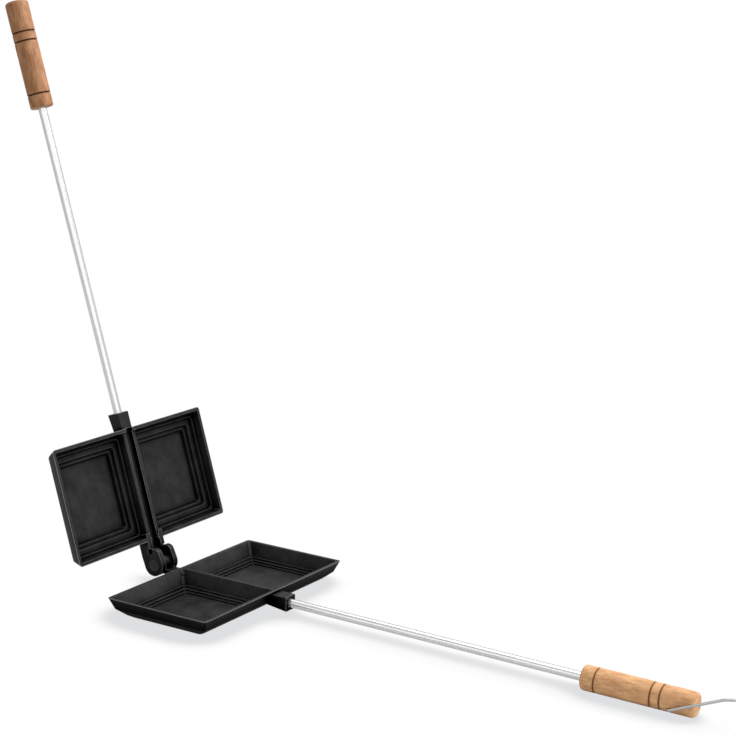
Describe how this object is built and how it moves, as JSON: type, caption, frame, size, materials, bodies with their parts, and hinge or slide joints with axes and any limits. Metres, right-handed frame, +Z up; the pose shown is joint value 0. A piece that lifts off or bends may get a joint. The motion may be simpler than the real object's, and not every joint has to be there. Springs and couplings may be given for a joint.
{
  "type": "double pie iron",
  "caption": "Hinged cast-iron pie iron with stepped twin cells, long steel rods, turned wooden grips and a wire latch, shown open.",
  "frame": {"origin": "middle of the lower pan's flat underside", "axes": "+X along the lower handle towards its grip, +Y along the hinge pin, +Z up out of the lower cells"},
  "size_m": [0.7713, 0.221, 0.5378],
  "materials": {
    "cast_iron": "seasoned, satin",
    "pin_steel": "dark, dull",
    "plated_rod": "bright plated",
    "lower_wood": "stained, satin varnish",
    "upper_wood": "stained, satin varnish",
    "latch_wire": "plated wire"
  },
  "bodies": {
    "lower_half": {"lower_pan": "cast_iron", "lower_rod": "plated_rod", "lower_grip": "lower_wood"},
    "upper_half": {"upper_pan": "cast_iron", "hinge_pin": "pin_steel", "upper_rod": "plated_rod", "upper_grip": "upper_wood"},
    "latch": {"latch_bail": "latch_wire"}
  },
  "joints": [
    {"name": "main_hinge", "type": "hinge", "parent": "lower_half", "child": "upper_half", "pos_m": [-0.077, 0, 0.01915], "axis": [0, -1, 0], "range_deg": [-108, 0]},
    {"name": "latch_pivot", "type": "hinge", "parent": "lower_half", "child": "latch", "pos_m": [0.44494, 0, 0.00127], "axis": [0, -1, 0], "range_deg": [-24.6, 116.5]}
  ]
}
